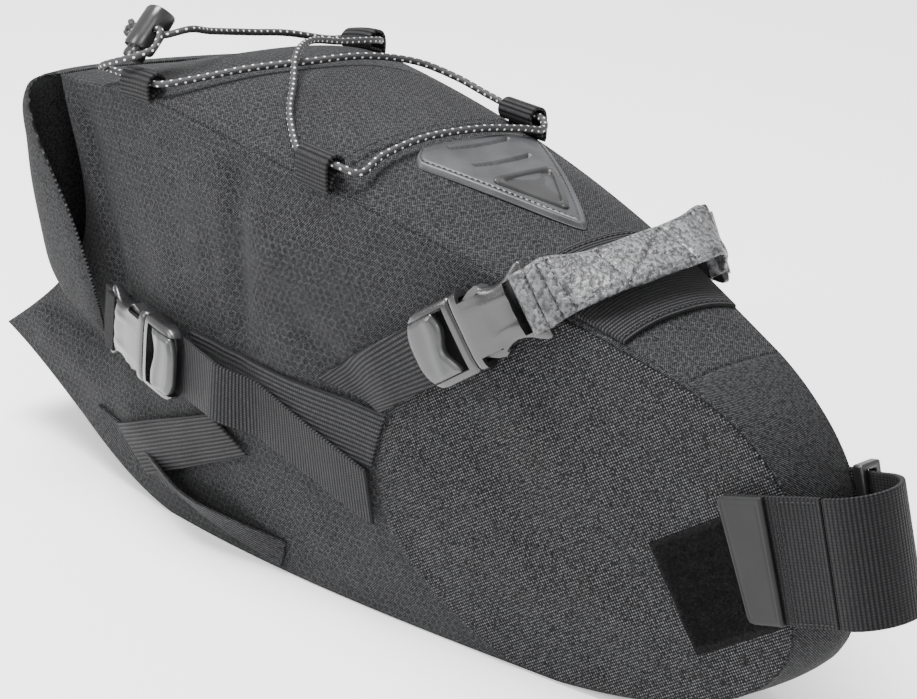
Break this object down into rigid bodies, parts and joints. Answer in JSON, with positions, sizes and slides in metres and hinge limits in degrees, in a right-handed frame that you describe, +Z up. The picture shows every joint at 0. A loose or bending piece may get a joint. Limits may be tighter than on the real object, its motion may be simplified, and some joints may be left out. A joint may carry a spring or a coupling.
{
  "type": "saddle bag",
  "caption": "Roll-top saddle bag that tapers to a nose, with a seatpost strap, clip-on saddle strap, buckled closure and elastic cord on top.",
  "frame": {"origin": "on the flat base that the bag lies on, on its middle plane, 223 mm behind the front of the nose", "axes": "+X forward along the bag to its nose and seatpost strap, +Y to the rider's left, +Z up from the base"},
  "size_m": [0.5115, 0.1638, 0.2188],
  "materials": {
    "shell_fabric": "honeycomb ripstop, matt",
    "patch_fabric": "heavy basket weave, matt",
    "collar_fabric": "plain twill, matt",
    "webbing": "ribbed polyester webbing",
    "strap_webbing": "wide ribbed webbing",
    "buckle_plastic": "satin black moulding",
    "lever_plastic": "satin charcoal moulding",
    "spring_steel": "coiled wire",
    "stiffener_sheet": "plain sheet",
    "badge_rubber": "moulded, matt",
    "pad_leather": "grained synthetic leather, stitched",
    "cord": "black elastic cord with pale flecks",
    "pile_fabric": "loop pile",
    "tab_rubber": "moulded, satin"
  },
  "bodies": {
    "root": {"side_panel_right": "shell_fabric", "side_panel_left": "shell_fabric", "top_panel": "shell_fabric", "front_panel": "shell_fabric", "bottom_panel": "shell_fabric", "tail_panel": "shell_fabric", "nose_patch_right": "patch_fabric", "nose_patch_left": "patch_fabric", "base_stiffener": "stiffener_sheet", "badge": "badge_rubber", "badge_emblem": "badge_rubber", "cross_webbing": "webbing", "saddle_strap": "pad_leather", "saddle_socket_right": "buckle_plastic", "saddle_socket_left": "buckle_plastic", "saddle_webbing_right": "webbing", "saddle_webbing_left": "webbing", "upper_webbing_right": "webbing", "upper_webbing_left": "webbing", "lower_webbing_right": "webbing", "lower_webbing_left": "webbing", "wing_webbing_right": "webbing", "wing_webbing_left": "webbing", "wing_right": "shell_fabric", "wing_left": "shell_fabric", "cord_loops": "webbing", "bungee_cord": "cord", "cord_lock_barrel": "buckle_plastic", "cord_lock_spring": "spring_steel", "loop_patch": "pile_fabric", "seatpost_strap": "strap_webbing", "strap_ring": "buckle_plastic"},
    "saddle_plug_right": {"saddle_plug_right": "buckle_plastic"},
    "saddle_lever_right": {"saddle_lever_right": "lever_plastic"},
    "saddle_prong_right_a": {"saddle_prong_right_a": "buckle_plastic"},
    "saddle_prong_right_b": {"saddle_prong_right_b": "buckle_plastic"},
    "roll_plug_right": {"roll_plug_right": "buckle_plastic"},
    "roll_lever_right": {"roll_lever_right": "lever_plastic"},
    "roll_prong_right_a": {"roll_prong_right_a": "buckle_plastic"},
    "roll_prong_right_b": {"roll_prong_right_b": "buckle_plastic"},
    "saddle_plug_left": {"saddle_plug_left": "buckle_plastic"},
    "saddle_lever_left": {"saddle_lever_left": "lever_plastic"},
    "saddle_prong_left_a": {"saddle_prong_left_a": "buckle_plastic"},
    "saddle_prong_left_b": {"saddle_prong_left_b": "buckle_plastic"},
    "roll_plug_left": {"roll_plug_left": "buckle_plastic"},
    "roll_lever_left": {"roll_lever_left": "lever_plastic"},
    "roll_prong_left_a": {"roll_prong_left_a": "buckle_plastic"},
    "roll_prong_left_b": {"roll_prong_left_b": "buckle_plastic"},
    "roll_closure": {"roll_closure": "collar_fabric", "roll_stub_right": "webbing", "roll_stub_left": "webbing", "roll_socket_right": "buckle_plastic", "roll_socket_left": "buckle_plastic"},
    "cord_lock_plunger": {"cord_lock_plunger": "buckle_plastic"},
    "strap_flap": {"strap_flap": "strap_webbing", "strap_pull_tab": "tab_rubber"}
  },
  "joints": [
    {"name": "saddle_release_right", "type": "slide", "parent": "root", "child": "saddle_plug_right", "axis": [-0.7928, -0.2424, -0.5592], "range_m": [0, 0.024]},
    {"name": "saddle_lever_right", "type": "hinge", "parent": "saddle_plug_right", "child": "saddle_lever_right", "pos_m": [0.07153, -0.05616, 0.13651], "axis": [-0.5539, -0.0964, 0.827], "range_deg": [0, 55]},
    {"name": "saddle_squeeze_right_a", "type": "hinge", "parent": "saddle_plug_right", "child": "saddle_prong_right_a", "pos_m": [0.08395, -0.05113, 0.13478], "axis": [0.2544, -0.9654, 0.0578], "range_deg": [0, 9.7]},
    {"name": "saddle_squeeze_right_b", "type": "hinge", "parent": "saddle_plug_right", "child": "saddle_prong_right_b", "pos_m": [0.0742, -0.05282, 0.14933], "axis": [-0.2544, 0.9654, -0.0578], "range_deg": [0, 9.7]},
    {"name": "roll_release_right", "type": "slide", "parent": "roll_closure", "child": "roll_plug_right", "axis": [0.9847, -0.1736, -0.0175], "range_m": [0, 0.024]},
    {"name": "roll_lever_right", "type": "hinge", "parent": "roll_plug_right", "child": "roll_lever_right", "pos_m": [-0.09646, -0.07501, 0.08145], "axis": [-0.0293, -0.0657, -0.9974], "range_deg": [0, 55]},
    {"name": "roll_squeeze_right_a", "type": "hinge", "parent": "roll_plug_right", "child": "roll_prong_right_a", "pos_m": [-0.10584, -0.0709, 0.09028], "axis": [-0.172, -0.9826, 0.0697], "range_deg": [0, 9.7]},
    {"name": "roll_squeeze_right_b", "type": "hinge", "parent": "roll_plug_right", "child": "roll_prong_right_b", "pos_m": [-0.10636, -0.07206, 0.07272], "axis": [0.172, 0.9826, -0.0697], "range_deg": [0, 9.7]},
    {"name": "saddle_release_left", "type": "slide", "parent": "root", "child": "saddle_plug_left", "axis": [-0.7928, 0.2424, -0.5592], "range_m": [0, 0.024]},
    {"name": "saddle_lever_left", "type": "hinge", "parent": "saddle_plug_left", "child": "saddle_lever_left", "pos_m": [0.07553, 0.05816, 0.13851], "axis": [0.5539, -0.0964, -0.827], "range_deg": [0, 55]},
    {"name": "saddle_squeeze_left_a", "type": "hinge", "parent": "saddle_plug_left", "child": "saddle_prong_left_a", "pos_m": [0.08795, 0.05313, 0.13678], "axis": [-0.2544, -0.9654, -0.0578], "range_deg": [0, 9.7]},
    {"name": "saddle_squeeze_left_b", "type": "hinge", "parent": "saddle_plug_left", "child": "saddle_prong_left_b", "pos_m": [0.0782, 0.05482, 0.15133], "axis": [0.2544, 0.9654, 0.0578], "range_deg": [0, 9.7]},
    {"name": "roll_release_left", "type": "slide", "parent": "roll_closure", "child": "roll_plug_left", "axis": [0.9847, 0.1736, -0.0175], "range_m": [0, 0.024]},
    {"name": "roll_lever_left", "type": "hinge", "parent": "roll_plug_left", "child": "roll_lever_left", "pos_m": [-0.09646, 0.07501, 0.08145], "axis": [0.0293, -0.0657, 0.9974], "range_deg": [0, 55]},
    {"name": "roll_squeeze_left_a", "type": "hinge", "parent": "roll_plug_left", "child": "roll_prong_left_a", "pos_m": [-0.10584, 0.0709, 0.09028], "axis": [0.172, -0.9826, -0.0697], "range_deg": [0, 9.7]},
    {"name": "roll_squeeze_left_b", "type": "hinge", "parent": "roll_plug_left", "child": "roll_prong_left_b", "pos_m": [-0.10636, 0.07206, 0.07272], "axis": [-0.172, 0.9826, 0.0697], "range_deg": [0, 9.7]},
    {"name": "roll_open", "type": "hinge", "parent": "root", "child": "roll_closure", "pos_m": [-0.183, 0, 0.191], "axis": [0, 1, 0], "range_deg": [0, 100]},
    {"name": "cord_lock_press", "type": "slide", "parent": "root", "child": "cord_lock_plunger", "axis": [0, 0.6691, 0.7431], "range_m": [0, 0.003], "stiffness_N_per_m": 400, "springref_m": -0.004, "deforming": ["cord_lock_spring"]},
    {"name": "strap_peel", "type": "hinge", "parent": "root", "child": "strap_flap", "pos_m": [0.2425, -0.0182, 0.094], "axis": [-0.2588, 0, 0.9659], "range_deg": [0, 80]}
  ],
  "couplings": [
    {"joint": "saddle_squeeze_right_a", "follows": "saddle_release_right", "rad_per_m": 7},
    {"joint": "saddle_squeeze_right_b", "follows": "saddle_release_right", "rad_per_m": 7},
    {"joint": "roll_squeeze_right_a", "follows": "roll_release_right", "rad_per_m": 7},
    {"joint": "roll_squeeze_right_b", "follows": "roll_release_right", "rad_per_m": 7},
    {"joint": "saddle_squeeze_left_a", "follows": "saddle_release_left", "rad_per_m": 7},
    {"joint": "saddle_squeeze_left_b", "follows": "saddle_release_left", "rad_per_m": 7},
    {"joint": "roll_squeeze_left_a", "follows": "roll_release_left", "rad_per_m": 7},
    {"joint": "roll_squeeze_left_b", "follows": "roll_release_left", "rad_per_m": 7}
  ]
}
